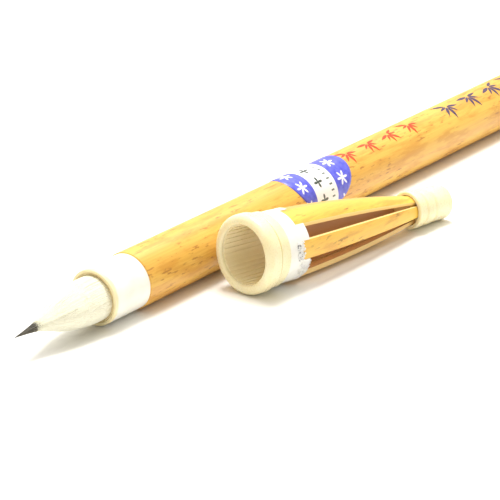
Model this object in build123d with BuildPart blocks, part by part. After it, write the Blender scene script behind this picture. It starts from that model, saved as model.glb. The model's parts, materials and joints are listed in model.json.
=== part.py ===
"""A bamboo calligraphy brush lying on a table, with its slatted bamboo cap beside it.

Millimetres. +X runs along the brush from the point of the hair to the tail, +Z is up, and the
table is z = 0. The origin is under the middle of the whole set.
"""

from build123d import *
from math import atan2, cos, degrees, pi, radians, sin, sqrt
import os

os.makedirs("parts", exist_ok=True)

# ---------------------------------------------------------------- driving dimensions
# Lengths along the brush are measured from the front end of the bamboo, positive to the tail.
HANDLE_R = 7.0
HANDLE_LENGTH = 205.0
HANDLE_BORE_R = 4.0
HANDLE_EDGE = 0.25
SOCKET_R = 5.0
SOCKET_DEPTH = 10.0
GLUE_GAP = 0.03

PLUG_HEAD_R = 6.2
PLUG_HEAD_LENGTH = 1.5
PLUG_STEM_LENGTH = 9.0
PLUG_EDGE = 0.5

FERRULE_R = 6.75
FERRULE_LENGTH = 12.4
FERRULE_MOUTH_R = 6.0
FERRULE_CUP_R = 5.0
FERRULE_CUP_FLOOR = -1.2
FERRULE_RIM_ROUND = 0.3

TUFT_R = 5.4
TUFT_EXPOSED = 26.9
BELLY_PIVOT = -14.6
TIP_PIVOT = -25.4
TIP_PIVOT_R = 3.45
BELLY_SWELL_X = -20.3
BELLY_SWELL_R = 4.7
COVER_END_X = -31.8
COVER_END_R = 1.15
BALL_GAP = 0.3
CORE_SHARE = 0.62

BINDING_WIDTH = 1.6
BINDING_THICKNESS = 0.3
BINDING_INSET = 0.2
RESIN_THICKNESS = 1.0
ROOT_R = 4.5

LABEL_X = 71.5
LABEL_DIAMETER = 24.4
LABEL_ANGLE = 76.0
LABEL_THICKNESS = 0.1
LABEL_STEPS = 12
LABEL_OVERLAP = 0.1

# Lengths along the cap are measured from its mouth, positive to the knob.
FLANGE_R = 9.65
FLANGE_LENGTH = 3.8
FLANGE_FRONT_ROUND = 1.5
FLANGE_BACK_ROUND = 0.45
CAP_BORE_R = 7.0
LIP_BORE_R = 7.3
LIP_LENGTH = 1.0
LIP_ROUND = 0.6
GROOVE_R = 8.6
GROOVE_WIDTH = 0.5
NECK_R = 9.15
NECK_END = 7.2
NECK_ROUND = 0.25
SLEEVE_R = 7.5
SLEEVE_END = 14.0
RIB_COUNT = 36
RIB_GROOVE_WIDTH = 0.55
RIB_GROOVE_DEPTH = 0.18

COLLAR_R = 8.75
COLLAR_END = 14.1
SLOT_START = 11.5

# Each slat's angle, then its width at the collar, half way and at the knob. They were split by hand.
SLATS = (
    (5, 4.5, 4.0, 2.7),
    (67.5, 5.8, 4.5, 2.6),
    (126, 6.3, 4.9, 2.2),
    (181, 6.3, 4.9, 2.2),
    (235, 6.3, 4.9, 2.2),
    (282, 4.7, 3.8, 1.9),
)
SLAT_THICKNESS = 1.05
SLAT_END_THICKNESS = 0.75
SLAT_ROOT_R = 8.66
SLAT_MIDDLE = 36.0
SLAT_MIDDLE_R = 6.85
SLAT_END = 59.0
SLAT_END_R = 3.45
SLOT_GAP = 0.05

KNOB_START = 57.6
KNOB_END = 70.5
KNOB_R = 4.85
KNOB_SOCKET_R = 3.9
KNOB_SOCKET_END = 59.2
KNOB_SOCKET_END_R = 3.55
KNOB_RIM_ROUND = 0.4
KNOB_GROOVES = (60.0, 63.5)
KNOB_GROOVE_WIDTH = 1.1
KNOB_GROOVE_DEPTH = 0.65
KNOB_STEP = 0.2
KNOB_ROUND = 0.8
KNOB_RING_ROUND = 0.3
WEDGE_START = 56.1
WEDGE_START_R = 3.0
WEDGE_END_R = 2.5

# Where the cap lies beside the brush: its mouth's centre, and its turn away from the handle.
CAP_X = 21.1
CAP_SIDE = 17.3
CAP_YAW = 8.5

# ---------------------------------------------------------------- placing
# The cap rests on the back edge of its mouth flange and on the last full ring of its knob.
knob_tail_r = KNOB_R - len(KNOB_GROOVES) * KNOB_STEP
rest_front = FLANGE_LENGTH - FLANGE_BACK_ROUND
rest_back = KNOB_END - KNOB_ROUND
cap_tilt = atan2(FLANGE_R - knob_tail_r, rest_back - rest_front)
cap_yaw = radians(CAP_YAW)
cap_height = FLANGE_R * cos(cap_tilt) + rest_front * sin(cap_tilt)

# The set reaches from the hair's point to the plug's head, and from the handle to the knob.
tip_x = -FERRULE_LENGTH - TUFT_EXPOSED
tail_x = HANDLE_LENGTH + PLUG_HEAD_LENGTH
cap_reach = CAP_SIDE + rest_back * sin(cap_yaw) * cos(cap_tilt) + knob_tail_r * cos(cap_yaw)
start_x = -(tip_x + tail_x) / 2
start_y = (cap_reach - HANDLE_R - LABEL_THICKNESS) / 2

BRUSH = Plane(origin=(start_x, start_y, HANDLE_R), x_dir=(1, 0, 0), z_dir=(0, -1, 0))
BRUSH_AXIS = Axis(BRUSH.origin, BRUSH.x_dir)
CAP = Plane(
    origin=(start_x + CAP_X, start_y - CAP_SIDE, cap_height),
    x_dir=(cos(cap_yaw) * cos(cap_tilt), -sin(cap_yaw) * cos(cap_tilt), -sin(cap_tilt)),
    z_dir=(-sin(cap_yaw), -cos(cap_yaw), 0),
)
CAP_AXIS = Axis(CAP.origin, CAP.x_dir)


def cross_plane(base, along):
    """The plane square to a base plane's x axis, at a distance along it."""
    return Plane(origin=base.from_local_coords((along, 0, 0)), x_dir=base.z_dir, z_dir=base.x_dir)


def outward_plane(base, angle):
    """The plane through a base plane's x axis that faces outward at an angle round it.

    The angle is measured from the base plane's z direction towards its y direction.
    """
    turn = radians(angle)
    outward = base.z_dir * cos(turn) + base.y_dir * sin(turn)
    return Plane(origin=base.origin, x_dir=base.x_dir, z_dir=outward)


# ---------------------------------------------------------------- handle
with BuildPart() as handle_tube:
    with BuildSketch(BRUSH):
        with BuildLine():
            Polyline(
                (0, SOCKET_R + GLUE_GAP),
                (0, HANDLE_R),
                (HANDLE_LENGTH, HANDLE_R),
                (HANDLE_LENGTH, HANDLE_BORE_R),
                (SOCKET_DEPTH, HANDLE_BORE_R),
                (SOCKET_DEPTH, SOCKET_R + GLUE_GAP),
                close=True,
            )
        make_face()
    revolve(axis=BRUSH_AXIS)
    outer_edges = handle_tube.edges().filter_by(GeomType.CIRCLE).group_by(SortBy.RADIUS)[-1]
    chamfer(outer_edges, HANDLE_EDGE)

with BuildPart() as handle_tail_plug:
    with BuildSketch(BRUSH):
        with BuildLine():
            Polyline(
                (HANDLE_LENGTH - PLUG_STEM_LENGTH, 0),
                (HANDLE_LENGTH - PLUG_STEM_LENGTH, HANDLE_BORE_R - GLUE_GAP),
                (HANDLE_LENGTH, HANDLE_BORE_R - GLUE_GAP),
                (HANDLE_LENGTH, PLUG_HEAD_R),
                (tail_x, PLUG_HEAD_R),
                (tail_x, 0),
                close=True,
            )
        make_face()
    revolve(axis=BRUSH_AXIS)
    fillet(handle_tail_plug.edges().filter_by(GeomType.CIRCLE).sort_by(Axis.X)[-1], PLUG_EDGE)

# ---------------------------------------------------------------- ferrule
# A cup for the hair's root in front, and a spigot glued into the handle's socket behind.
with BuildPart() as ferrule:
    with BuildSketch(BRUSH):
        with BuildLine():
            Polyline(
                (-FERRULE_LENGTH, FERRULE_MOUTH_R),
                (-FERRULE_LENGTH, FERRULE_R),
                (0, FERRULE_R),
                (0, SOCKET_R),
                (SOCKET_DEPTH - GLUE_GAP, SOCKET_R),
                (SOCKET_DEPTH - GLUE_GAP, 0),
                (FERRULE_CUP_FLOOR, 0),
                (FERRULE_CUP_FLOOR, FERRULE_CUP_R),
                close=True,
            )
        make_face()
    revolve(axis=BRUSH_AXIS)
    fillet(ferrule.edges().filter_by(GeomType.CIRCLE).group_by(Axis.X)[0], FERRULE_RIM_ROUND)


# ---------------------------------------------------------------- tuft
# The hair bends, so it is cut in three lengths that turn on each other like balls in cups. The
# ball of each length is centred on the axis that it turns about. Cover hairs wrap the core hairs.
def reach(ball_r, off_axis):
    """How far a ball reaches along the axis from its centre, at a distance off the axis."""
    return sqrt(ball_r**2 - off_axis**2)


belly_cup_r = TUFT_R + BALL_GAP
tip_cup_r = TIP_PIVOT_R + BALL_GAP
root_back = FERRULE_CUP_FLOOR - RESIN_THICKNESS
binding_front = root_back - BINDING_INSET - BINDING_WIDTH
root_rim_x = BELLY_PIVOT + reach(belly_cup_r, TUFT_R)
root_core_r = CORE_SHARE * ROOT_R
root_core_x = BELLY_PIVOT + reach(belly_cup_r, root_core_r)
belly_core_r = CORE_SHARE * TUFT_R
tip_core_r = CORE_SHARE * TIP_PIVOT_R

with BuildPart() as hair_root_resin:
    with BuildSketch(cross_plane(BRUSH, root_back)):
        Circle(ROOT_R)
    extrude(amount=RESIN_THICKNESS)

with BuildPart() as hair_root_binding:
    with BuildSketch(cross_plane(BRUSH, binding_front)):
        Circle(ROOT_R + BINDING_THICKNESS)
        Circle(ROOT_R, mode=Mode.SUBTRACT)
    extrude(amount=BINDING_WIDTH)
    rings = hair_root_binding.edges().filter_by(GeomType.CIRCLE).group_by(SortBy.RADIUS)[-1]
    fillet(rings, BINDING_THICKNESS / 2)

with BuildPart() as cover_hairs_root:
    with BuildSketch(BRUSH):
        with BuildLine():
            Polyline(
                (root_core_x, root_core_r),
                (root_back, root_core_r),
                (root_back, ROOT_R),
                (binding_front, ROOT_R),
                (root_rim_x, TUFT_R),
            )
            RadiusArc((root_rim_x, TUFT_R), (root_core_x, root_core_r), belly_cup_r)
        make_face()
    revolve(axis=BRUSH_AXIS)

with BuildPart() as core_hairs_root:
    with BuildSketch(BRUSH):
        with BuildLine():
            Polyline(
                (BELLY_PIVOT + belly_cup_r, 0),
                (root_back, 0),
                (root_back, root_core_r),
                (root_core_x, root_core_r),
            )
            RadiusArc((root_core_x, root_core_r), (BELLY_PIVOT + belly_cup_r, 0), belly_cup_r)
        make_face()
    revolve(axis=BRUSH_AXIS)

belly_ball_x = BELLY_PIVOT + reach(TUFT_R, belly_core_r)
belly_cup_x = TIP_PIVOT + reach(tip_cup_r, tip_core_r)
belly_rim_x = TIP_PIVOT + reach(tip_cup_r, TIP_PIVOT_R)

with BuildPart() as cover_hairs_belly:
    with BuildSketch(BRUSH):
        with BuildLine():
            RadiusArc((belly_ball_x, belly_core_r), (BELLY_PIVOT, TUFT_R), -TUFT_R)
            ThreePointArc(
                (BELLY_PIVOT, TUFT_R),
                (BELLY_SWELL_X, BELLY_SWELL_R),
                (belly_rim_x, TIP_PIVOT_R),
            )
            RadiusArc((belly_rim_x, TIP_PIVOT_R), (belly_cup_x, tip_core_r), tip_cup_r)
            Line((belly_cup_x, tip_core_r), (belly_ball_x, belly_core_r))
        make_face()
    revolve(axis=BRUSH_AXIS)

with BuildPart() as core_hairs_belly:
    with BuildSketch(BRUSH):
        with BuildLine():
            RadiusArc((BELLY_PIVOT + TUFT_R, 0), (belly_ball_x, belly_core_r), -TUFT_R)
            Line((belly_ball_x, belly_core_r), (belly_cup_x, tip_core_r))
            RadiusArc((belly_cup_x, tip_core_r), (TIP_PIVOT + tip_cup_r, 0), tip_cup_r)
            Line((TIP_PIVOT + tip_cup_r, 0), (BELLY_PIVOT + TUFT_R, 0))
        make_face()
    revolve(axis=BRUSH_AXIS)

tip_ball_x = TIP_PIVOT + reach(TIP_PIVOT_R, tip_core_r)

with BuildPart() as core_hairs_tip:
    with BuildSketch(BRUSH):
        with BuildLine():
            RadiusArc((TIP_PIVOT + TIP_PIVOT_R, 0), (tip_ball_x, tip_core_r), -TIP_PIVOT_R)
            Line((tip_ball_x, tip_core_r), (COVER_END_X, COVER_END_R))
            Line((COVER_END_X, COVER_END_R), (tip_x, 0))
            Line((tip_x, 0), (TIP_PIVOT + TIP_PIVOT_R, 0))
        make_face()
    revolve(axis=BRUSH_AXIS)

with BuildPart() as cover_hairs_tip:
    with BuildSketch(BRUSH):
        with BuildLine():
            RadiusArc((tip_ball_x, tip_core_r), (TIP_PIVOT, TIP_PIVOT_R), -TIP_PIVOT_R)
            Line((TIP_PIVOT, TIP_PIVOT_R), (COVER_END_X, COVER_END_R))
            Line((COVER_END_X, COVER_END_R), (tip_ball_x, tip_core_r))
        make_face()
    revolve(axis=BRUSH_AXIS)

# ---------------------------------------------------------------- price label
# A round paper sticker, wrapped over the top of the handle. It reaches more than half way round,
# so each half is cut out of a thin sleeve by a prism that faces it squarely.
label_r = LABEL_DIAMETER / 2
half_reach = label_r / HANDLE_R


def wrapped_point(turn, side):
    """A point of the round outline, as seen from the direction that one half of it faces."""
    seen_from = half_reach / 2
    round_handle = label_r * sin(turn) / HANDLE_R
    return (LABEL_X + label_r * cos(turn), side * HANDLE_R * sin(round_handle - seen_from))


turn_step = (pi + 2 * LABEL_OVERLAP) / LABEL_STEPS
turns = [i * turn_step - LABEL_OVERLAP for i in range(LABEL_STEPS + 1)]

with BuildPart() as price_label:
    for side in (-1, 1):
        facing = LABEL_ANGLE + side * degrees(half_reach / 2)
        with BuildSketch(outward_plane(BRUSH, facing)):
            with BuildLine():
                edge_points = [wrapped_point(turn, side) for turn in turns]
                Spline(*edge_points)
                Line(edge_points[-1], edge_points[0])
            make_face()
        extrude(amount=2 * HANDLE_R)
    with BuildSketch(cross_plane(BRUSH, LABEL_X - LABEL_DIAMETER)):
        Circle(HANDLE_R + LABEL_THICKNESS)
        Circle(HANDLE_R, mode=Mode.SUBTRACT)
    extrude(amount=2 * LABEL_DIAMETER, mode=Mode.INTERSECT)

# ---------------------------------------------------------------- cap mouth
# A cream flange with a soft lip, then a groove and a smaller neck. It holds the ribbed sleeve.
groove_end = FLANGE_LENGTH + GROOVE_WIDTH

with BuildPart() as cap_mouth_ring:
    with BuildSketch(CAP):
        with BuildLine():
            Polyline(
                (0, LIP_BORE_R),
                (0, FLANGE_R),
                (FLANGE_LENGTH, FLANGE_R),
                (FLANGE_LENGTH, GROOVE_R),
                (groove_end, GROOVE_R),
                (groove_end, NECK_R),
                (NECK_END, NECK_R),
                (NECK_END, SLEEVE_R),
                (LIP_LENGTH, SLEEVE_R),
                (LIP_LENGTH, LIP_BORE_R),
                close=True,
            )
        make_face()
    revolve(axis=CAP_AXIS)
    lip_edges = cap_mouth_ring.edges().filter_by(GeomType.CIRCLE).group_by(SortBy.RADIUS)[0]
    fillet(lip_edges.sort_by(CAP_AXIS)[0], LIP_ROUND)
    neck_edges = cap_mouth_ring.edges().filter_by(GeomType.CIRCLE).group_by(SortBy.RADIUS)[-2]
    fillet(neck_edges, NECK_ROUND)
    flange_edges = cap_mouth_ring.edges().filter_by(GeomType.CIRCLE).group_by(SortBy.RADIUS)[-1]
    fillet(flange_edges.sort_by(CAP_AXIS)[0], FLANGE_FRONT_ROUND)
    flange_edges = cap_mouth_ring.edges().filter_by(GeomType.CIRCLE).group_by(SortBy.RADIUS)[-1]
    fillet(flange_edges.sort_by(CAP_AXIS)[-1], FLANGE_BACK_ROUND)

with BuildPart() as cap_inner_sleeve:
    with BuildSketch(cross_plane(CAP, LIP_LENGTH)):
        Circle(SLEEVE_R)
        Circle(CAP_BORE_R, mode=Mode.SUBTRACT)
        with PolarLocations(CAP_BORE_R, RIB_COUNT):
            Rectangle(2 * RIB_GROOVE_DEPTH, RIB_GROOVE_WIDTH, mode=Mode.SUBTRACT)
    extrude(amount=SLEEVE_END - LIP_LENGTH)

# ---------------------------------------------------------------- slat collar
# A white band. Its back edge is cut into slots for the slats, which leaves a tab between each two.
with BuildPart() as slat_collar:
    with BuildSketch(cross_plane(CAP, NECK_END)):
        Circle(COLLAR_R)
        Circle(SLEEVE_R, mode=Mode.SUBTRACT)
    extrude(amount=COLLAR_END - NECK_END)
    for angle, root_width, _, _ in SLATS:
        with BuildSketch(outward_plane(CAP, angle)):
            with Locations((SLOT_START, 0)):
                Rectangle(
                    COLLAR_END,
                    root_width + 2 * SLOT_GAP,
                    align=(Align.MIN, Align.CENTER),
                )
        extrude(amount=2 * COLLAR_R, mode=Mode.SUBTRACT)

# ---------------------------------------------------------------- slats
# Each slat is a strip of a bowed bamboo shell, wide at the collar and narrow at the knob.
slats = []
for number, (angle, root_width, middle_width, end_width) in enumerate(SLATS, start=1):
    with BuildPart() as slat:
        with BuildSketch(CAP):
            with BuildLine():
                outer = ThreePointArc(
                    (SLOT_START + SLOT_GAP, SLAT_ROOT_R),
                    (SLAT_MIDDLE, SLAT_MIDDLE_R),
                    (SLAT_END, SLAT_END_R),
                )
                inner = ThreePointArc(
                    (SLOT_START + SLOT_GAP, SLAT_ROOT_R - SLAT_THICKNESS),
                    (SLAT_MIDDLE, SLAT_MIDDLE_R - SLAT_THICKNESS),
                    (SLAT_END, SLAT_END_R - SLAT_END_THICKNESS),
                )
                Line(outer @ 0, inner @ 0)
                Line(outer @ 1, inner @ 1)
            make_face()
        revolve(axis=CAP_AXIS)
        with BuildSketch(outward_plane(CAP, angle)):
            with BuildLine():
                edges = [
                    ThreePointArc(
                        (SLOT_START, side * root_width / 2),
                        (SLAT_MIDDLE, side * middle_width / 2),
                        (SLAT_END, side * end_width / 2),
                    )
                    for side in (-1, 1)
                ]
                Line(edges[0] @ 0, edges[1] @ 0)
                Line(edges[0] @ 1, edges[1] @ 1)
            make_face()
        extrude(amount=2 * SLAT_ROOT_R, mode=Mode.INTERSECT)
    slats.append((f"cap_slat_{number}", slat))

# ---------------------------------------------------------------- knob
# A closed cup that holds the slat ends. Two grooves part it into rings, each smaller than the last.
groove_points = []
ring_corners = []
for ring, groove in enumerate(KNOB_GROOVES):
    ring_r = KNOB_R - ring * KNOB_STEP
    before = (groove, ring_r)
    bottom = (groove + KNOB_GROOVE_WIDTH / 2, ring_r - KNOB_GROOVE_DEPTH)
    after = (groove + KNOB_GROOVE_WIDTH, ring_r - KNOB_STEP)
    groove_points += [before, bottom, after]
    ring_corners += [before, after]

with BuildPart() as cap_tail_knob:
    with BuildSketch(CAP) as knob_profile:
        with BuildLine():
            Polyline(
                (KNOB_START, KNOB_SOCKET_R),
                (KNOB_START, KNOB_R),
                *groove_points,
                (KNOB_END, knob_tail_r),
                (KNOB_END, 0),
                (KNOB_SOCKET_END, 0),
                (KNOB_SOCKET_END, KNOB_SOCKET_END_R),
                close=True,
            )
        make_face()
        for corner in ring_corners:
            fillet(knob_profile.vertices().sort_by_distance(corner)[0], KNOB_RING_ROUND)
        rim_corner = knob_profile.vertices().sort_by_distance((KNOB_START, KNOB_R))[0]
        fillet(rim_corner, KNOB_RIM_ROUND)
    revolve(axis=CAP_AXIS)
    fillet(cap_tail_knob.edges().filter_by(GeomType.CIRCLE).sort_by(CAP_AXIS)[-1], KNOB_ROUND)

with BuildPart() as cap_slat_wedge:
    with BuildSketch(CAP):
        with BuildLine():
            Polyline(
                (WEDGE_START, 0),
                (WEDGE_START, WEDGE_START_R),
                (SLAT_END, WEDGE_END_R),
                (SLAT_END, 0),
                close=True,
            )
        make_face()
    revolve(axis=CAP_AXIS)

# ---------------------------------------------------------------- writing
pieces = [
    ("handle_tube", handle_tube),
    ("handle_tail_plug", handle_tail_plug),
    ("ferrule", ferrule),
    ("hair_root_resin", hair_root_resin),
    ("hair_root_binding", hair_root_binding),
    ("cover_hairs_root", cover_hairs_root),
    ("core_hairs_root", core_hairs_root),
    ("cover_hairs_belly", cover_hairs_belly),
    ("core_hairs_belly", core_hairs_belly),
    ("cover_hairs_tip", cover_hairs_tip),
    ("core_hairs_tip", core_hairs_tip),
    ("price_label", price_label),
    ("cap_mouth_ring", cap_mouth_ring),
    ("cap_inner_sleeve", cap_inner_sleeve),
    ("slat_collar", slat_collar),
    *slats,
    ("cap_tail_knob", cap_tail_knob),
    ("cap_slat_wedge", cap_slat_wedge),
]
for name, piece in pieces:
    piece.part.label = name
    export_step(piece.part, f"parts/{name}.step")
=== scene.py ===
"""Looks for the calligraphy brush and its cap: hair, bamboo, plastic, paper label, light and camera.

Metres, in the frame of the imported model: +X from the hair's point to the tail, +Z up, table z = 0.
"""

import json
import math

import bpy
import numpy as np
from mathutils import Matrix, Vector


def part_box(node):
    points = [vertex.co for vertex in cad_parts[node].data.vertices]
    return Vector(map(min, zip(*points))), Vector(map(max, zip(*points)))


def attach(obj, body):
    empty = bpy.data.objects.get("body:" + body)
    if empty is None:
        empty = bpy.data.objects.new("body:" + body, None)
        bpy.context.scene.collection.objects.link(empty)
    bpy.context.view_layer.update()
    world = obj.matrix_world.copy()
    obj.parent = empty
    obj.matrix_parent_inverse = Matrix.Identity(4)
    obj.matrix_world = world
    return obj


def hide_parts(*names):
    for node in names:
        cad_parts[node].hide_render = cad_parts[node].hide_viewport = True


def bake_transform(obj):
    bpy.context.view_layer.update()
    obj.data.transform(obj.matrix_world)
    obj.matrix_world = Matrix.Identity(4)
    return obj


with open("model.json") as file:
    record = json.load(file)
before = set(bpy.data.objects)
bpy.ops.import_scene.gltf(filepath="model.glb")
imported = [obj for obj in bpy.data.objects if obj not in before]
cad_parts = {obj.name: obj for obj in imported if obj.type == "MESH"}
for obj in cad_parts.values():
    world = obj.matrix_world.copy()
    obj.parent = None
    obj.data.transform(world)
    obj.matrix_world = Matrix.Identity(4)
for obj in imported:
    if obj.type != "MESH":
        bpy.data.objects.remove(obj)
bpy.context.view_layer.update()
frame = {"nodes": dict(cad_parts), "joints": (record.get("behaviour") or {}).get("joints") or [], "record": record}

MM = 0.001
rng = np.random.default_rng(7)

# ---------------------------------------------------------------- where things are
handle_low, handle_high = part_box("handle_tube")
label_low, label_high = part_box("price_label")
ferrule_low, ferrule_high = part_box("ferrule")
axis_y = (handle_low.y + handle_high.y) / 2
axis_z = (handle_low.z + handle_high.z) / 2
HANDLE_R = (handle_high.z - handle_low.z) / 2
FRONT_X = handle_low.x
TIP_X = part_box("core_hairs_tip")[0].x
MOUTH_X = ferrule_low.x

joints = {joint["name"]: joint for joint in frame["joints"]}
BELLY_PIVOT_X = joints["belly_bend"]["pos_m"][0]
TIP_PIVOT_X = joints["tip_bend"]["pos_m"][0]

# The cap's axis runs through the middles of the spaces that the record states inside it.
spaces = frame["record"]["physics"]["openings"]
space_middles = [(Vector(s["box_m"][0]) + Vector(s["box_m"][1])) / 2 for s in spaces]
cap_direction = (space_middles[-1] - space_middles[0]).normalized()


def cap_start(node):
    """Where a cap node starts along the cap's axis, measured from the middle of the first space."""
    return min((v.co - space_middles[0]).dot(cap_direction) for v in frame["nodes"][node].data.vertices)


cap_mouth = space_middles[0] + cap_direction * cap_start("cap_mouth_ring")
cap_side = cap_direction.cross(Vector((0, 0, 1))).normalized()
cap_up = cap_side.cross(cap_direction)


def on_brush(along, radius, turn):
    """A point at a place along the brush; turn 0 faces -Y, a quarter turn faces up."""
    return (along, axis_y - radius * math.cos(turn), axis_z + radius * math.sin(turn))


def on_cap(along, radius, turn):
    """A point at a distance from the cap's mouth, with turn measured as on the brush."""
    out = cap_side * math.cos(turn) + cap_up * math.sin(turn)
    return tuple(cap_mouth + cap_direction * along + out * radius)


# ---------------------------------------------------------------- mesh helpers
def add_piece(name, points, faces, material, smooth=True):
    """A mesh object in the row frame."""
    mesh = bpy.data.meshes.new(name)
    mesh.from_pydata([tuple(p) for p in points], [], faces)
    mesh.polygons.foreach_set("use_smooth", [smooth] * len(mesh.polygons))
    mesh.materials.append(material)
    mesh.update()
    piece = bpy.data.objects.new(name, mesh)
    bpy.context.scene.collection.objects.link(piece)
    return piece


def tube(points, radii, sides, start):
    """A closed thin tube along a line of points: its vertices and faces, numbered from start."""
    points = np.asarray(points, float)
    forward = np.gradient(points, axis=0)
    forward /= np.linalg.norm(forward, axis=1)[:, None]
    side = np.cross(forward, [0.0, 0.0, 1.0])
    side /= np.linalg.norm(side, axis=1)[:, None]
    other = np.cross(forward, side)
    turns = np.arange(sides) * 2 * math.pi / sides
    ring = side[:, None] * np.cos(turns)[None, :, None] + other[:, None] * np.sin(turns)[None, :, None]
    skin = points[:, None] + ring * np.asarray(radii)[:, None, None]
    faces = []
    for i in range(len(points) - 1):
        for k in range(sides):
            a = start + i * sides + k
            b = start + i * sides + (k + 1) % sides
            faces.append((a, b, b + sides, a + sides))
    faces.append(tuple(start + k for k in reversed(range(sides))))
    last = start + (len(points) - 1) * sides
    faces.append(tuple(last + k for k in range(sides)))
    return skin.reshape(-1, 3), faces


# ---------------------------------------------------------------- material helpers
class Shader:
    """A node material with a Principled surface and short calls for the nodes that feed it."""

    def __init__(self, name, **settings):
        self.material = bpy.data.materials.new(name)
        self.material.use_nodes = True
        self.nodes = self.material.node_tree.nodes
        self.links = self.material.node_tree.links
        self.surface = self.nodes["Principled BSDF"]
        for key, value in settings.items():
            self.set(key.replace("_", " ").title(), value)

    def set(self, socket, value):
        self.surface.inputs[socket].default_value = value

    def feed(self, socket, output):
        self.links.new(output, self.surface.inputs[socket])

    def node(self, kind, inputs=None, **settings):
        made = self.nodes.new(kind)
        for key, value in settings.items():
            setattr(made, key, value)
        for key, value in (inputs or {}).items():
            if isinstance(value, bpy.types.NodeSocket):
                self.links.new(value, made.inputs[key])
            else:
                made.inputs[key].default_value = value
        return made

    def place(self, scale=(1, 1, 1), source="Object", turn=(0, 0, 0)):
        """Coordinates stretched by a scale, in cycles per metre."""
        where = self.node("ShaderNodeTexCoord").outputs[source]
        made = self.node("ShaderNodeMapping", {"Vector": where, "Scale": scale, "Rotation": turn})
        return made.outputs["Vector"]

    def noise(self, vector, scale=1.0, detail=3.0, roughness=0.5):
        inputs = {"Vector": vector, "Scale": scale, "Detail": detail, "Roughness": roughness}
        return self.node("ShaderNodeTexNoise", inputs).outputs["Fac"]

    def ramp(self, factor, *stops):
        made = self.node("ShaderNodeValToRGB", {"Fac": factor})
        elements = made.color_ramp.elements
        while len(elements) < len(stops):
            elements.new(0.5)
        for element, (position, colour) in zip(elements, stops):
            element.position = position
            element.color = (*colour, 1.0)
        return made.outputs["Color"]

    def step(self, value, low, high, to_low=0.0, to_high=1.0):
        inputs = {"Value": value, "From Min": low, "From Max": high, "To Min": to_low, "To Max": to_high}
        return self.node("ShaderNodeMapRange", inputs, interpolation_type="SMOOTHSTEP").outputs["Result"]

    def mix(self, factor, a, b, blend="MIX"):
        made = self.node("ShaderNodeMix", data_type="RGBA", blend_type=blend)
        for index, value in ((0, factor), (6, a), (7, b)):
            if isinstance(value, bpy.types.NodeSocket):
                self.links.new(value, made.inputs[index])
            else:
                made.inputs[index].default_value = value if index == 0 else (*value, 1.0)
        return made.outputs[2]

    def math(self, operation, a, b=0.0):
        made = self.node("ShaderNodeMath", operation=operation)
        for index, value in enumerate((a, b)):
            if isinstance(value, bpy.types.NodeSocket):
                self.links.new(value, made.inputs[index])
            else:
                made.inputs[index].default_value = value
        return made.outputs[0]

    def facing_out(self, origin, direction):
        """How far the surface faces away from an axis: 1 is straight out, -1 is towards the axis."""
        where = self.node("ShaderNodeTexCoord").outputs
        arm = self.node("ShaderNodeVectorMath", {0: where["Object"], 1: origin}, operation="SUBTRACT")
        arm = arm.outputs["Vector"]
        reach = self.node("ShaderNodeVectorMath", {0: arm, 1: direction}, operation="DOT_PRODUCT")
        foot = {0: direction, "Scale": reach.outputs["Value"]}
        foot = self.node("ShaderNodeVectorMath", foot, operation="SCALE")
        out = self.node("ShaderNodeVectorMath", {0: arm, 1: foot.outputs["Vector"]}, operation="SUBTRACT")
        out = self.node("ShaderNodeVectorMath", {0: out.outputs["Vector"]}, operation="NORMALIZE")
        facing = {0: out.outputs["Vector"], 1: where["Normal"]}
        return self.node("ShaderNodeVectorMath", facing, operation="DOT_PRODUCT").outputs["Value"]

    def bump(self, height, strength, distance):
        inputs = {"Height": height, "Strength": strength, "Distance": distance}
        self.feed("Normal", self.node("ShaderNodeBump", inputs).outputs["Normal"])


def bamboo(name, pale, deep, blotch, fleck, fleck_amount, gloss, turn=(0, 0, 0), spread=0.42, split=None):
    """Golden bamboo: streaks, soft brown blotches and short dark flecks that run along the grain.

    A split is the axis of the stem that a strip was cut from, and the colours of its cut edge (pale fibre
    and painted light) and of the inside wall (painted shade).
    """
    made = Shader(name, roughness=0.42, coat_weight=gloss, coat_roughness=0.28)
    broad = made.noise(made.place((16, 170, 170), turn=turn), detail=4)
    fibre = made.noise(made.place((45, 2600, 2600), turn=turn), detail=5, roughness=0.65)
    tone = made.math("ADD", made.math("MULTIPLY", broad, 0.62), made.math("MULTIPLY", fibre, 0.38))
    colour = made.ramp(tone, (0.36, deep), (0.60, pale))
    clouds = made.noise(made.place((75, 420, 420), turn=turn), detail=5, roughness=0.62)
    colour = made.mix(made.step(clouds, 0.48, 0.64, 0.0, 0.65), colour, blotch)
    dashes = made.noise(made.place((300, 1300, 1300), turn=turn), detail=3, roughness=0.5)
    patches = made.noise(made.place((45, 260, 260), turn=turn), detail=2)
    shown = made.math("MULTIPLY", made.step(dashes, 0.57, 0.66), made.step(patches, spread, spread + 0.12))
    colour = made.mix(made.math("MULTIPLY", shown, fleck_amount), colour, fleck)
    if split is not None:
        origin, direction, cut, inside = split
        facing = made.facing_out(origin, direction)
        # Faces turned away from the outside take a paler colour: the pale fibre of the cut edge, and painted
        # light.
        colour = made.mix(made.step(facing, 0.80, 0.62), colour, cut)
        # Faces turned towards the cap's axis take a dark brown that is painted shade inside the cap.
        colour = made.mix(made.step(facing, -0.50, -0.72), colour, inside)
    made.feed("Base Color", colour)
    made.feed("Roughness", made.step(fibre, 0.3, 0.7, 0.36, 0.50))
    made.bump(fibre, 0.18, 0.00006)
    return made.material


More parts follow.
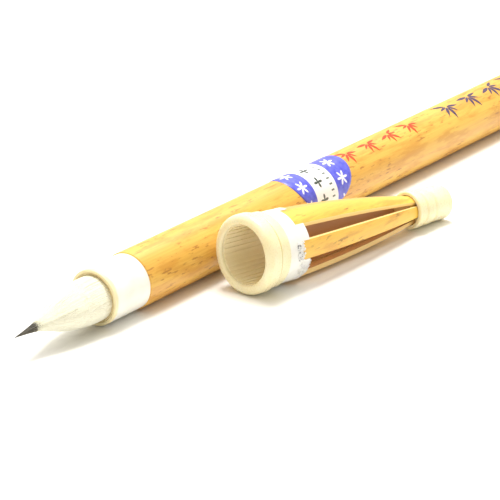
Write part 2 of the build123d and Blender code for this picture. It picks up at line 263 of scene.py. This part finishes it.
def plastic(name, colour, shade, roughness, glow, grain):
    """Moulded plastic with a little light inside it and faint unevenness."""
    made = Shader(name, roughness=roughness, subsurface_weight=glow, subsurface_scale=0.002)
    made.set("Subsurface Radius", (1.0, 0.8, 0.45))
    cloud = made.noise(made.place((180, 180, 180)), detail=4)
    made.feed("Base Color", made.ramp(cloud, (0.36, shade), (0.64, colour)))
    fine = made.noise(made.place((2200, 2200, 2200)), detail=3)
    made.feed("Roughness", made.step(fine, 0.3, 0.7, roughness * 0.8, roughness * 1.25))
    made.bump(fine, grain, 0.00005)
    return made.material


def hair(name, pale, deep, roughness, sheen):
    """Fine animal hair: colour varies from strand to strand and a little along each."""
    made = Shader(name, roughness=roughness, sheen_weight=sheen, sheen_roughness=0.5)
    strand = made.noise(made.place((55, 3800, 3800)), detail=3, roughness=0.6)
    made.feed("Base Color", made.ramp(strand, (0.34, deep), (0.60, pale)))
    return made.material


def ferrule_with_mouth_shade(name, mouth_x):
    """White plastic with a creamy painted shade in a narrow band round its open mouth."""
    made = Shader(name, roughness=0.36, subsurface_weight=0.15, subsurface_scale=0.002)
    made.set("Subsurface Radius", (1.0, 0.8, 0.45))
    cloud = made.noise(made.place((180, 180, 180)), detail=4)
    white = made.ramp(cloud, (0.36, (0.88, 0.86, 0.77)), (0.64, (0.93, 0.92, 0.86)))
    across = made.node("ShaderNodeSeparateXYZ", {"Vector": made.node("ShaderNodeTexCoord").outputs["Object"]})
    wobble = made.math("MULTIPLY", made.noise(made.place((120, 240, 240)), detail=3), 1.2 * MM)
    depth = made.math("SUBTRACT", made.math("SUBTRACT", across.outputs["X"], mouth_x), wobble)
    # The cream band within about a millimetre of the mouth is painted shade on the rim.
    colour = made.mix(made.step(depth, 0.1 * MM, 0.9 * MM, 0.85, 0.0), white, (0.90, 0.76, 0.42))
    made.feed("Base Color", colour)
    made.bump(made.noise(made.place((2200, 2200, 2200)), detail=3), 0.10, 0.00005)
    return made.material


# ---------------------------------------------------------------- materials
CAP_TURN = cap_direction.to_track_quat("X", "Z").inverted().to_euler()
HANDLE_BAMBOO = bamboo("handle_bamboo", pale=(0.82, 0.50, 0.088), deep=(0.66, 0.325, 0.045),
                       blotch=(0.60, 0.26, 0.030), fleck=(0.36, 0.115, 0.016), fleck_amount=0.7, gloss=0.3)
# Paler colour for the slats' cut edges: pale fibre and painted light.
CUT_EDGE_AND_LIGHT = (0.93, 0.66, 0.26)
# Dark brown for the slats' inner faces: painted shade inside the cap.
INSIDE_WALL_SHADE = (0.56, 0.27, 0.085)
SLAT_BAMBOO = bamboo("slat_bamboo", pale=(0.92, 0.59, 0.095), deep=(0.82, 0.45, 0.062),
                     blotch=(0.64, 0.30, 0.045), fleck=(0.22, 0.08, 0.020), fleck_amount=0.85, gloss=0.15,
                     turn=CAP_TURN, spread=0.53, split=(cap_mouth, cap_direction, CUT_EDGE_AND_LIGHT, INSIDE_WALL_SHADE))
ROOT_GLUE = plastic("root_glue", (0.90, 0.74, 0.42), (0.78, 0.56, 0.26), 0.45, 0.3, 0.3)
COLLAR_WHITE = plastic("collar_white", (0.92, 0.91, 0.86), (0.80, 0.79, 0.74), 0.55, 0.10, 0.55)
CREAM_PLASTIC = plastic("cream_plastic", (0.91, 0.83, 0.56), (0.86, 0.76, 0.47), 0.30, 0.35, 0.08)
SLEEVE_TAN = plastic("sleeve_tan", (1.0, 0.89, 0.58), (0.95, 0.82, 0.50), 0.50, 0.25, 0.10)
PLUG_WOOD = bamboo("plug_wood", pale=(0.40, 0.20, 0.08), deep=(0.24, 0.11, 0.04), blotch=(0.20, 0.08, 0.03),
                   fleck=(0.10, 0.04, 0.02), fleck_amount=0.5, gloss=0.2)
COVER_HAIR = hair("cover_hair", (1.0, 0.98, 0.80), (0.97, 0.94, 0.73), 0.55, 0.4)
CORE_HAIR = hair("core_hair", (0.085, 0.072, 0.045), (0.02, 0.017, 0.012), 0.55, 0.05)
THREAD = hair("thread", (0.80, 0.78, 0.70), (0.60, 0.56, 0.46), 0.7, 0.3)
RESIN = plastic("resin", (0.40, 0.20, 0.06), (0.30, 0.14, 0.04), 0.2, 0.2, 0.1)

NODE_MATERIALS = {
    "handle_tube": HANDLE_BAMBOO,
    "handle_tail_plug": PLUG_WOOD,
    "ferrule": ferrule_with_mouth_shade("ferrule_with_mouth_shade", MOUTH_X),
    "hair_root_resin": RESIN,
    "hair_root_binding": THREAD,
    "cap_mouth_ring": CREAM_PLASTIC,
    "cap_inner_sleeve": SLEEVE_TAN,
    "slat_collar": COLLAR_WHITE,
    "cap_tail_knob": CREAM_PLASTIC,
    "cap_slat_wedge": SLAT_BAMBOO,
}
for node_name, node_object in frame["nodes"].items():
    if node_name.startswith("cap_slat_") and node_name != "cap_slat_wedge":
        NODE_MATERIALS[node_name] = SLAT_BAMBOO
    if node_name in NODE_MATERIALS:
        node_object.data.materials.clear()
        node_object.data.materials.append(NODE_MATERIALS[node_name])

# ---------------------------------------------------------------- tuft
# Radius of the hair at distances ahead of the bamboo's front end, in millimetres.
TUFT_OUTLINE = ((3.0, 4.6), (12.4, 5.35), (14.6, 5.4), (20.3, 4.75), (25.4, 3.45), (28.5, 2.25),
                (31.8, 1.15), (35.5, 0.48), (39.2, 0.05))
SAG = 0.45 * MM
SPLIT_X = (BELLY_PIVOT_X + TIP_PIVOT_X) / 2


def tuft_radius(x):
    """Radius of the tuft at a place along X, smooth through the outline's points."""
    ahead, radii = np.array(TUFT_OUTLINE).T * MM
    slopes = np.gradient(radii, ahead)
    place = np.clip(FRONT_X - np.asarray(x, float), ahead[0], ahead[-1])
    i = np.clip(np.searchsorted(ahead, place) - 1, 0, len(ahead) - 2)
    width = ahead[i + 1] - ahead[i]
    t = (place - ahead[i]) / width
    h00 = (1 + 2 * t) * (1 - t) ** 2
    h10 = t * (1 - t) ** 2
    h01 = t * t * (3 - 2 * t)
    h11 = t * t * (t - 1)
    radius = h00 * radii[i] + h10 * width * slopes[i] + h01 * radii[i + 1] + h11 * width * slopes[i + 1]
    return np.maximum(radius, 0.04 * MM)


def tuft_drop(x):
    """How far the hair's axis hangs below the handle's axis, growing towards the point."""
    ahead = np.clip((MOUTH_X - np.asarray(x, float)) / (MOUTH_X - TIP_X), 0, 1)
    return SAG * ahead**2


def tuft_point(x, radius, turn):
    """A point in the tuft; turn as on the brush."""
    across = axis_y - radius * np.cos(turn)
    height = axis_z - tuft_drop(x) + radius * np.sin(turn)
    return np.stack([np.asarray(x, float), across, height], -1)


def tuft_body(x_from, x_to, shrink, steps):
    """The closed mass of hair under the separate strands, fluted lengthwise by uneven locks."""
    sides = 96
    turns = np.arange(sides) * 2 * math.pi / sides
    locks = sum(
        strength * np.sin(count * turns + rng.uniform(0, 2 * math.pi))
        for count, strength in ((5, 0.5), (11, 0.7), (19, 0.8), (31, 1.0))
    )
    points = []
    for x in np.linspace(x_from, x_to, steps):
        radius = tuft_radius(x) * (1 + 0.006 * locks) - shrink(x)
        points.extend(tuft_point(np.full(sides, x), np.maximum(radius, 0.02 * MM), turns))
    faces = []
    for i in range(steps - 1):
        for k in range(sides):
            a = i * sides + k
            b = i * sides + (k + 1) % sides
            faces.append((a, a + sides, b + sides, b))
    faces.append(tuple(range(sides)))
    faces.append(tuple(reversed(range((steps - 1) * sides, steps * sides))))
    return points, faces


def between(pair):
    """A random value between the two of a pair, in either order."""
    return pair[0] + (pair[1] - pair[0]) * rng.random()


def strands(count, starts, ends, thickness, lift, wander, steps, shrink, start_index):
    """Separate hairs that lie along the tuft's surface from start places to end places along X."""
    points, faces = [], []
    golden = math.pi * (3 - math.sqrt(5))
    for i in range(count):
        x_from, x_to = between(starts), between(ends)
        x = np.linspace(x_from, x_to, steps)
        t = np.linspace(0, 1, steps)
        swing = wander * rng.normal()
        waves = rng.uniform(0.4, 1.1)
        turn = i * golden + swing * np.sin(math.pi * t * waves + rng.uniform(0, 6))
        height = rng.uniform(lift[0], lift[1])
        radius = tuft_radius(x) - shrink(x) + height * np.clip(tuft_radius(x) / (3 * MM), 0.15, 1)
        radius = np.maximum(radius, 0.03 * MM)
        line = tuft_point(x, radius, turn)
        taper = np.clip((1 - t) / 0.25, 0.12, 1) * np.clip(t / 0.04 + 0.4, 0, 1)
        radii = thickness * rng.uniform(0.7, 1.15) * taper
        skin, skin_faces = tube(line, radii, 3, start_index + len(points))
        points.extend(skin)
        faces.extend(skin_faces)
    return points, faces


def hair_piece(name, body, strand_sets, material):
    """One mesh of a hair mass and its strands."""
    points, faces = list(body[0]), list(body[1])
    for settings in strand_sets:
        more_points, more_faces = strands(**settings, start_index=len(points))
        points.extend(more_points)
        faces.extend(more_faces)
    return add_piece(name, points, faces, material)


ROOT_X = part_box("hair_root_resin")[0].x
WHITE_END_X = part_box("cover_hairs_tip")[0].x
STRAND_DEPTH = 0.10 * MM


def under_strands(x):
    """Depth of the hair mass below the tuft's outline, where strands lie over it."""
    return STRAND_DEPTH + 0 * x


def under_cover(x):
    """Depth of the core below the outline: it comes to the surface where the cover hairs end."""
    return np.interp(x, (WHITE_END_X - 0.6 * MM, WHITE_END_X + 1.2 * MM), (0.02 * MM, 0.34 * MM))


def at_outline(x):
    """No depth: the strands start from the outline itself."""
    return 0 * x


rooted_hair = hair_piece(
    "cover_hair_rooted",
    tuft_body(ROOT_X, SPLIT_X - 1.0 * MM, under_strands, 26),
    [dict(count=620, starts=(ROOT_X, ROOT_X - 1 * MM), ends=(SPLIT_X - 0.4 * MM, SPLIT_X - 3.2 * MM),
          thickness=0.10 * MM, lift=(-0.08 * MM, -0.03 * MM), wander=0.04, steps=12, shrink=at_outline)],
    COVER_HAIR,
)
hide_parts("cover_hairs_root", "core_hairs_root")

pointed_hair = hair_piece(
    "cover_hair_pointed",
    tuft_body(SPLIT_X + 0.6 * MM, WHITE_END_X + 1.1 * MM, under_strands, 30),
    [dict(count=900, starts=(SPLIT_X + 2.6 * MM, SPLIT_X - 0.2 * MM),
          ends=(WHITE_END_X + 1.2 * MM, WHITE_END_X - 0.9 * MM),
          thickness=0.085 * MM, lift=(-0.08 * MM, -0.03 * MM), wander=0.05, steps=16, shrink=at_outline),
     dict(count=30, starts=(SPLIT_X - 2 * MM, SPLIT_X - 5 * MM),
          ends=(WHITE_END_X - 0.6 * MM, WHITE_END_X - 2.4 * MM),
          thickness=0.05 * MM, lift=(-0.02 * MM, 0.05 * MM), wander=0.08, steps=16, shrink=at_outline)],
    COVER_HAIR,
)
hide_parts("cover_hairs_belly", "cover_hairs_tip")

core_hair = hair_piece(
    "core_hair_point",
    tuft_body(TIP_PIVOT_X + 1.5 * MM, TIP_X + 0.5 * MM, under_cover, 30),
    [dict(count=170, starts=(TIP_PIVOT_X - 2.6 * MM, TIP_PIVOT_X - 4.6 * MM),
          ends=(TIP_X + 2.6 * MM, TIP_X + 0.2 * MM),
          thickness=0.075 * MM, lift=(-0.08 * MM, 0.02 * MM), wander=0.06, steps=20, shrink=under_cover)],
    CORE_HAIR,
)
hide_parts("core_hairs_belly", "core_hairs_tip")


def bend(piece):
    """Bakes a hair piece's transform into its mesh."""
    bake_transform(piece)


bend(rooted_hair)
bend(pointed_hair)
bend(core_hair)

# ---------------------------------------------------------------- glue
def turned(name, outline, point, material, sides=96):
    """A ring turned from a closed outline of (along, radius) by a function that places its points."""
    points, faces = [], []
    for k in range(sides):
        turn = k * 2 * math.pi / sides
        points.extend(point(along, radius, turn) for along, radius in outline)
    count = len(outline)
    for k in range(sides):
        for i in range(count):
            j = (i + 1) % count
            a, b = k * count, ((k + 1) % sides) * count
            faces.append((a + i, a + j, b + j, b + i))
    return add_piece(name, points, faces, material)


FERRULE_R = (ferrule_high.z - ferrule_low.z) / 2
ROOT_GLUE_R = FERRULE_R - 0.72 * MM
root_glue = turned(
    "root_glue_fillet",
    [(MOUTH_X + 0.55 * MM, 5.1 * MM), (MOUTH_X + 0.35 * MM, 5.5 * MM), (MOUTH_X + 0.25 * MM, ROOT_GLUE_R),
     (MOUTH_X + 1.6 * MM, ROOT_GLUE_R), (MOUTH_X + 1.6 * MM, 5.1 * MM)],
    on_brush,
    ROOT_GLUE,
)
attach(root_glue, "brush")


def flake(centre_along, radius, turn, size):
    """A crumb of dried glue on the cap: a small uneven eight-cornered lump."""
    corners = []
    for low_high in (0.0, 1.0):
        for quarter in range(4):
            angle = quarter * math.pi / 2 + rng.uniform(-0.5, 0.5)
            reach = size * rng.uniform(0.45, 1.0)
            corners.append(on_cap(centre_along + reach * math.cos(angle) * 1.2,
                                  radius + low_high * size * rng.uniform(0.25, 0.6),
                                  turn + reach * math.sin(angle) / radius))
    faces = [(3, 2, 1, 0), (4, 5, 6, 7), (0, 1, 5, 4), (1, 2, 6, 5), (2, 3, 7, 6), (3, 0, 4, 7)]
    return corners, faces


def flakes(name, count, along, turns, radius, size, material):
    """A patch of glue crumbs in one mesh."""
    points, faces = [], []
    for _ in range(count):
        place = rng.uniform(*along)
        turn = math.radians(rng.uniform(*turns))
        lump, lump_faces = flake(place, radius, turn, size * rng.uniform(0.5, 1.3))
        faces.extend(tuple(i + len(points) for i in face) for face in lump_faces)
        points.extend(lump)
    piece = add_piece(name, points, faces, material, smooth=False)
    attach(piece, "cap")


# The slat collar's radius, and where the slots for the slats start, measured from the cap's mouth.
COLLAR_R = 8.75 * MM
SLOT_ALONG = 11.5 * MM
CRUMB_SIZE = 0.36 * MM
SPECK_SIZE = 0.26 * MM
FLAKE_GLUE = plastic("flake_glue", (0.95, 0.94, 0.90), (0.75, 0.74, 0.70), 0.4, 0.2, 0.4)
GREY_GLUE = plastic("grey_glue", (0.36, 0.36, 0.38), (0.16, 0.16, 0.17), 0.3, 0.0, 0.6)
flakes("glue_crumbs_front", 90, (SLOT_ALONG - 1.6 * MM, SLOT_ALONG + 0.5 * MM), (-11, 20),
       COLLAR_R - 0.06 * MM, CRUMB_SIZE, FLAKE_GLUE)
flakes("glue_crumbs_low", 90, (SLOT_ALONG - 0.6 * MM, SLOT_ALONG + 3.0 * MM), (-46, -14),
       COLLAR_R - 0.10 * MM, CRUMB_SIZE, FLAKE_GLUE)
flakes("glue_crumbs_grey", 26, (SLOT_ALONG - 1.7 * MM, SLOT_ALONG - 0.1 * MM), (-9, 15),
       COLLAR_R - 0.02 * MM, SPECK_SIZE, GREY_GLUE)

# ---------------------------------------------------------------- price label
LABEL_X = (label_low.x + label_high.x) / 2
LABEL_R = (label_high.x - label_low.x) / 2
LABEL_TURN = math.radians(76)
LABEL_LIFT = 0.10 * MM
LABEL_EDGE = 0.02 * MM


# The white band's half width and the shift of its middle, as shares of the label's width.
WHITE_BAND_HALF = 0.180
WHITE_BAND_SHIFT = 0.035
BAND_EDGE = 0.006
# Rows of plain marks: place across the label, start along it, spacing, size, petals and colour.
LABEL_MARKS = (
    (-0.355, 0.10, 0.235, 0.088, 6, (0.84, 0.86, 0.97)),
    (0.285, 0.45, 0.235, 0.088, 6, (0.84, 0.86, 0.97)),
    (-0.095, 0.30, 0.20, 0.07, 4, (0.05, 0.07, 0.06)),
    (0.07, 0.0, 0.066, 0.026, 2, (0.10, 0.14, 0.12)),
)


def petals(made, across, along, row, first, spacing, size, count):
    """Mask of a row of plain petalled shapes that repeat along a line of the label."""
    x = made.math("DIVIDE", made.math("SUBTRACT", across, row), size)
    cell = made.math("FRACT", made.math("ADD", made.math("DIVIDE", along, spacing), first))
    y = made.math("MULTIPLY", made.math("SUBTRACT", cell, 0.5), spacing / size)
    reach = made.math("SQRT", made.math("ADD", made.math("MULTIPLY", x, x), made.math("MULTIPLY", y, y)))
    wave = made.math("COSINE", made.math("MULTIPLY", made.math("ARCTAN2", y, x), float(count)))
    edge = made.math("ADD", made.math("MULTIPLY", wave, 0.36), 0.58)
    return made.step(made.math("SUBTRACT", reach, edge), -0.08, 0.08, 1.0, 0.0)


def label_material():
    """Blue, white and blue bands across a coated paper round, with plain generic marks."""
    made = Shader("label_paper", roughness=0.32, coat_weight=0.3, coat_roughness=0.2)
    flat = made.node("ShaderNodeTexCoord").outputs["UV"]
    apart = made.node("ShaderNodeSeparateXYZ", {"Vector": flat})
    across, along = apart.outputs["X"], apart.outputs["Y"]
    off_middle = made.math("ABSOLUTE", made.math("ADD", across, WHITE_BAND_SHIFT))
    band = made.step(off_middle, WHITE_BAND_HALF, WHITE_BAND_HALF + BAND_EDGE)
    mottle = made.noise(made.place((18, 18, 18), "UV"), detail=4)
    blue = made.ramp(mottle, (0.35, (0.07, 0.08, 0.62)), (0.65, (0.13, 0.14, 0.76)))
    white = made.ramp(mottle, (0.3, (0.88, 0.89, 0.93)), (0.7, (0.94, 0.94, 0.96)))
    colour = made.mix(band, white, blue)
    for row, first, spacing, size, count, ink in LABEL_MARKS:
        mask = petals(made, across, along, row, first, spacing, size, count)
        colour = made.mix(mask, colour, ink)
    made.feed("Base Color", colour)
    made.bump(made.noise(made.place((60, 60, 60), "UV"), detail=3), 0.08, 0.00004)
    return made.material


def label_point(around, out, height):
    """A point of the label: out is the share of its radius, height is above the handle."""
    along = LABEL_R * out * math.cos(around)
    turn = LABEL_TURN + LABEL_R * out * math.sin(around) / HANDLE_R
    return on_brush(LABEL_X + along, HANDLE_R + height, turn)


def make_label():
    """A thin round sheet wrapped on the handle, with its edge turned down to the bamboo."""
    rings = 20
    sides = 96
    points = [label_point(0, 0, LABEL_LIFT)]
    flat = [(0.0, 0.0)]
    faces = []
    levels = [((i + 1) / rings, LABEL_LIFT) for i in range(rings)]
    levels[-1] = (1 - 0.004, LABEL_LIFT)
    levels.append((1.0, LABEL_EDGE))
    levels.append((1.0, 0.0))
    for out, height in levels:
        for k in range(sides):
            around = k * 2 * math.pi / sides
            points.append(label_point(around, out, height))
            flat.append((out * math.cos(around) / 2, out * math.sin(around) / 2))
    for k in range(sides):
        faces.append((0, 1 + k, 1 + (k + 1) % sides))
    for i in range(len(levels) - 1):
        for k in range(sides):
            a = 1 + i * sides + k
            b = 1 + i * sides + (k + 1) % sides
            faces.append((a, a + sides, b + sides, b))
    piece = add_piece("wrapped_price_label", points, faces, label_material())
    layer = piece.data.uv_layers.new(name="flat")
    for loop in piece.data.loops:
        layer.data[loop.index].uv = flat[loop.vertex_index]
    return piece


label = make_label()
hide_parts("price_label")
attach(label, "brush")

# ---------------------------------------------------------------- painted marks
# Generic leaf clusters stand where the handle carries an inscription.
RED_INK = Shader("red_ink", base_color=(0.72, 0.045, 0.006, 1), roughness=0.5).material
VIOLET_INK = Shader("violet_ink", base_color=(0.07, 0.045, 0.10, 1), roughness=0.5).material
MARK_TURN = math.radians(79)
MARK_LIFT = 0.03 * MM
LEAVES = 6
LEAF_SPREAD = 0.66
FIRST_LEAN = -1.9
LEAN_STEP = 0.35
# Name, ink, distance of the first cluster from the bamboo's front end, spacing, how many, and size.
MARKS = (
    ("red_mark", RED_INK, 86.8 * MM, 9.6 * MM, 4, 7.4 * MM),
    ("violet_mark", VIOLET_INK, 134.7 * MM, 11.0 * MM, 6, 9.0 * MM),
)


def leaf_cluster(name, centre_x, size, material, lean):
    """Six pointed leaves that spread from one place, each a thin blade on the bamboo."""
    points, faces = [], []
    for blade in range(LEAVES):
        direction = lean + (blade - (LEAVES - 1) / 2) * LEAF_SPREAD
        length = size * (1.0 - 0.13 * ((blade * 2) % 3)) / 2
        start = len(points)
        steps = 9
        for i in range(steps):
            t = i / (steps - 1)
            half = 0.12 * length * math.sin(math.pi * t**0.8) + 0.01 * MM
            for side in (-1, 1):
                along = length * (t + 0.12) * math.cos(direction) - side * half * math.sin(direction)
                round_it = length * (t + 0.12) * math.sin(direction) + side * half * math.cos(direction)
                turn = MARK_TURN + round_it / HANDLE_R
                for height in (0.0, MARK_LIFT):
                    points.append(on_brush(centre_x + along, HANDLE_R + height, turn))
        for i in range(steps - 1):
            a = start + i * 4
            b = a + 4
            faces.append((a + 1, b + 1, b + 3, a + 3))
            faces.append((a, a + 2, b + 2, b))
            faces.append((a, b, b + 1, a + 1))
            faces.append((a + 2, a + 3, b + 3, b + 2))
        faces.append((start, start + 1, start + 3, start + 2))
        last = start + (steps - 1) * 4
        faces.append((last, last + 2, last + 3, last + 1))
    piece = add_piece(name, points, faces, material, smooth=False)
    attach(piece, "brush")


for mark_name, ink, first, spacing, count, size in MARKS:
    for i in range(count):
        lean = FIRST_LEAN + LEAN_STEP * (i % 3)
        leaf_cluster(f"{mark_name}_{i + 1}", FRONT_X + first + i * spacing, size, ink, lean)

# ---------------------------------------------------------------- floor, light and camera
FLOOR_SIZE = 6.0
floor_shader = Shader("floor_white", roughness=0.30)
floor_cloud = floor_shader.noise(floor_shader.place((6, 6, 6)), detail=2)
floor_colour = floor_shader.ramp(floor_cloud, (0.3, (0.93, 0.93, 0.915)), (0.7, (0.95, 0.95, 0.94)))
floor_shader.feed("Base Color", floor_colour)
half_floor = FLOOR_SIZE / 2
floor = add_piece(
    "floor",
    [
        (-half_floor, -half_floor, 0),
        (half_floor, -half_floor, 0),
        (half_floor, half_floor, 0),
        (-half_floor, half_floor, 0),
    ],
    [(0, 1, 2, 3)],
    floor_shader.material,
)

scene = bpy.context.scene
# The fill light is warm, so that the shadows are.
FILL_COLOUR = (1.0, 0.945, 0.84, 1)
FILL_STRENGTH = 0.72
world = bpy.data.worlds.new("studio")
world.use_nodes = True
world.node_tree.nodes["Background"].inputs["Color"].default_value = FILL_COLOUR
world.node_tree.nodes["Background"].inputs["Strength"].default_value = FILL_STRENGTH
scene.world = world


LAMP_COLOUR = (1.0, 0.99, 0.97)
LAMP_TARGET = (0.0, 0.0, 0.0)
# Name, place, width and watts of each lamp.
SOFTBOXES = (
    ("key_softbox", (0.10, 0.09, 0.60), 0.24, 4.4),
    ("overhead_softbox", (0.15, 0.20, 0.75), 1.0, 3.6),
)


def softbox(name, place, width, watts):
    """A square studio light at a place, turned to the middle of the table."""
    data = bpy.data.lights.new(name, "AREA")
    data.shape = "RECTANGLE"
    data.size, data.size_y = width, width
    data.energy = watts
    data.color = LAMP_COLOUR
    lamp = bpy.data.objects.new(name, data)
    lamp.location = place
    lamp.rotation_mode = "QUATERNION"
    lamp.rotation_quaternion = (Vector(LAMP_TARGET) - Vector(place)).to_track_quat("-Z", "Y")
    scene.collection.objects.link(lamp)


for lamp_name, lamp_place, lamp_width, lamp_watts in SOFTBOXES:
    softbox(lamp_name, lamp_place, lamp_width, lamp_watts)

VIEW_TARGET = Vector((-0.05226, 0.00062, 0.0070))
VIEW_BEARING = math.radians(-52.43)
VIEW_HEIGHT = math.radians(20.05)
VIEW_ROLL = math.radians(-2.39)
VIEW_DISTANCE = 0.5568
VIEW_LENS = 168.6
SENSOR_WIDTH = 36.0

back = Vector((
    math.sin(VIEW_BEARING) * math.cos(VIEW_HEIGHT),
    -math.cos(VIEW_BEARING) * math.cos(VIEW_HEIGHT),
    math.sin(VIEW_HEIGHT),
))
camera_data = bpy.data.cameras.new("camera")
camera_data.lens = VIEW_LENS
camera_data.sensor_width = SENSOR_WIDTH
camera = bpy.data.objects.new("camera", camera_data)
camera.location = VIEW_TARGET + back * VIEW_DISTANCE
look = (-back).to_track_quat("-Z", "Y").to_matrix().to_4x4()
camera.rotation_mode = "QUATERNION"
camera.rotation_quaternion = (look @ Matrix.Rotation(VIEW_ROLL, 4, "Z")).to_quaternion()
scene.collection.objects.link(camera)
scene.camera = camera
scene.view_settings.view_transform = "Standard"
